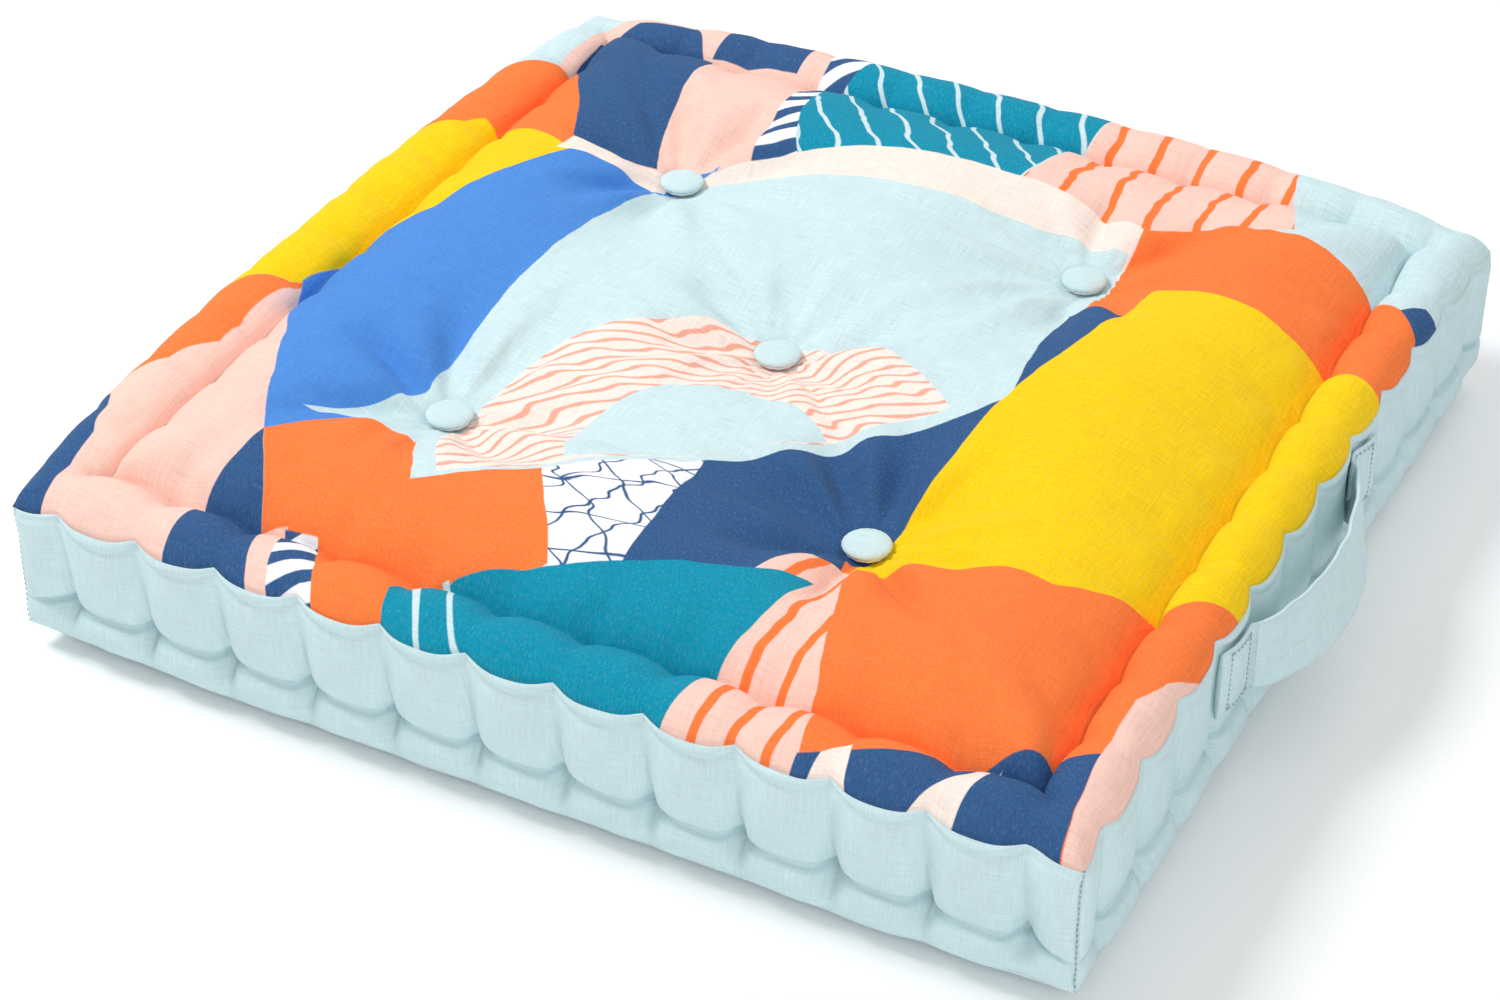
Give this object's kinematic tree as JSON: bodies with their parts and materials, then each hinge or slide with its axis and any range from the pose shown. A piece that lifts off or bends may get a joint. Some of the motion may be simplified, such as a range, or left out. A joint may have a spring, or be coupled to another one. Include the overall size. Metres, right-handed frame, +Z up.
{
  "type": "floor cushion",
  "caption": "Square tufted floor cushion with a printed top, rolled edges, plain boxed sides, covered buttons and a sewn strap handle on one side.",
  "frame": {"origin": "on the floor, under the middle of the whole outline in plan, with the handle's reach counted", "axes": "+Z up, out of the printed top; +X to the right, where the handle is; -Y is the front side"},
  "size_m": [0.633, 0.6034, 0.114],
  "materials": {
    "printed_cotton": "matt printed cotton-linen weave, many-coloured pattern of plain colour shapes",
    "pale_cotton": "matt pale blue cotton-linen weave",
    "cotton_wadding": "undyed fibre filling",
    "waxed_twine": "undyed waxed twine",
    "sewing_thread": "blue polyester sewing thread",
    "button_plastic": "moulded white plastic"
  },
  "bodies": {
    "cushion": {"base_panel": "pale_cotton", "base_roll_twine_back": "waxed_twine", "base_roll_twine_front": "waxed_twine", "base_roll_twine_left": "waxed_twine", "base_roll_twine_right": "waxed_twine", "boxing_back": "pale_cotton", "boxing_front": "pale_cotton", "boxing_left": "pale_cotton", "boxing_right": "pale_cotton", "button_back_back_left_base": "button_plastic", "button_back_back_left_top": "button_plastic", "button_back_back_right_base": "button_plastic", "button_back_back_right_top": "button_plastic", "button_back_front_left_base": "button_plastic", "button_back_front_left_top": "button_plastic", "button_back_front_right_base": "button_plastic", "button_back_front_right_top": "button_plastic", "button_back_middle_base": "button_plastic", "button_back_middle_top": "button_plastic", "button_cap_back_left_base": "pale_cotton", "button_cap_back_left_top": "pale_cotton", "button_cap_back_right_base": "pale_cotton", "button_cap_back_right_top": "pale_cotton", "button_cap_front_left_base": "pale_cotton", "button_cap_front_left_top": "pale_cotton", "button_cap_front_right_base": "pale_cotton", "button_cap_front_right_top": "pale_cotton", "button_cap_middle_base": "pale_cotton", "button_cap_middle_top": "pale_cotton", "filling_base_roll": "cotton_wadding", "filling_core": "cotton_wadding", "filling_top_roll": "cotton_wadding", "handle_end_back": "pale_cotton", "handle_end_front": "pale_cotton", "handle_stitching_back": "sewing_thread", "handle_stitching_front": "sewing_thread", "top_panel": "printed_cotton", "top_roll_twine_back": "waxed_twine", "top_roll_twine_front": "waxed_twine", "top_roll_twine_left": "waxed_twine", "top_roll_twine_right": "waxed_twine", "tufting_twine_back_left": "waxed_twine", "tufting_twine_back_right": "waxed_twine", "tufting_twine_front_left": "waxed_twine", "tufting_twine_front_right": "waxed_twine", "tufting_twine_middle": "waxed_twine"},
    "handle": {"handle_strap": "pale_cotton"}
  },
  "joints": [
    {"name": "handle_swing", "type": "hinge", "parent": "cushion", "child": "handle", "pos_m": [0.29175, -0.0125, 0.066], "axis": [0, -1, 0], "range_deg": [-35, 50], "stiffness_Nm_per_rad": 0.05}
  ]
}
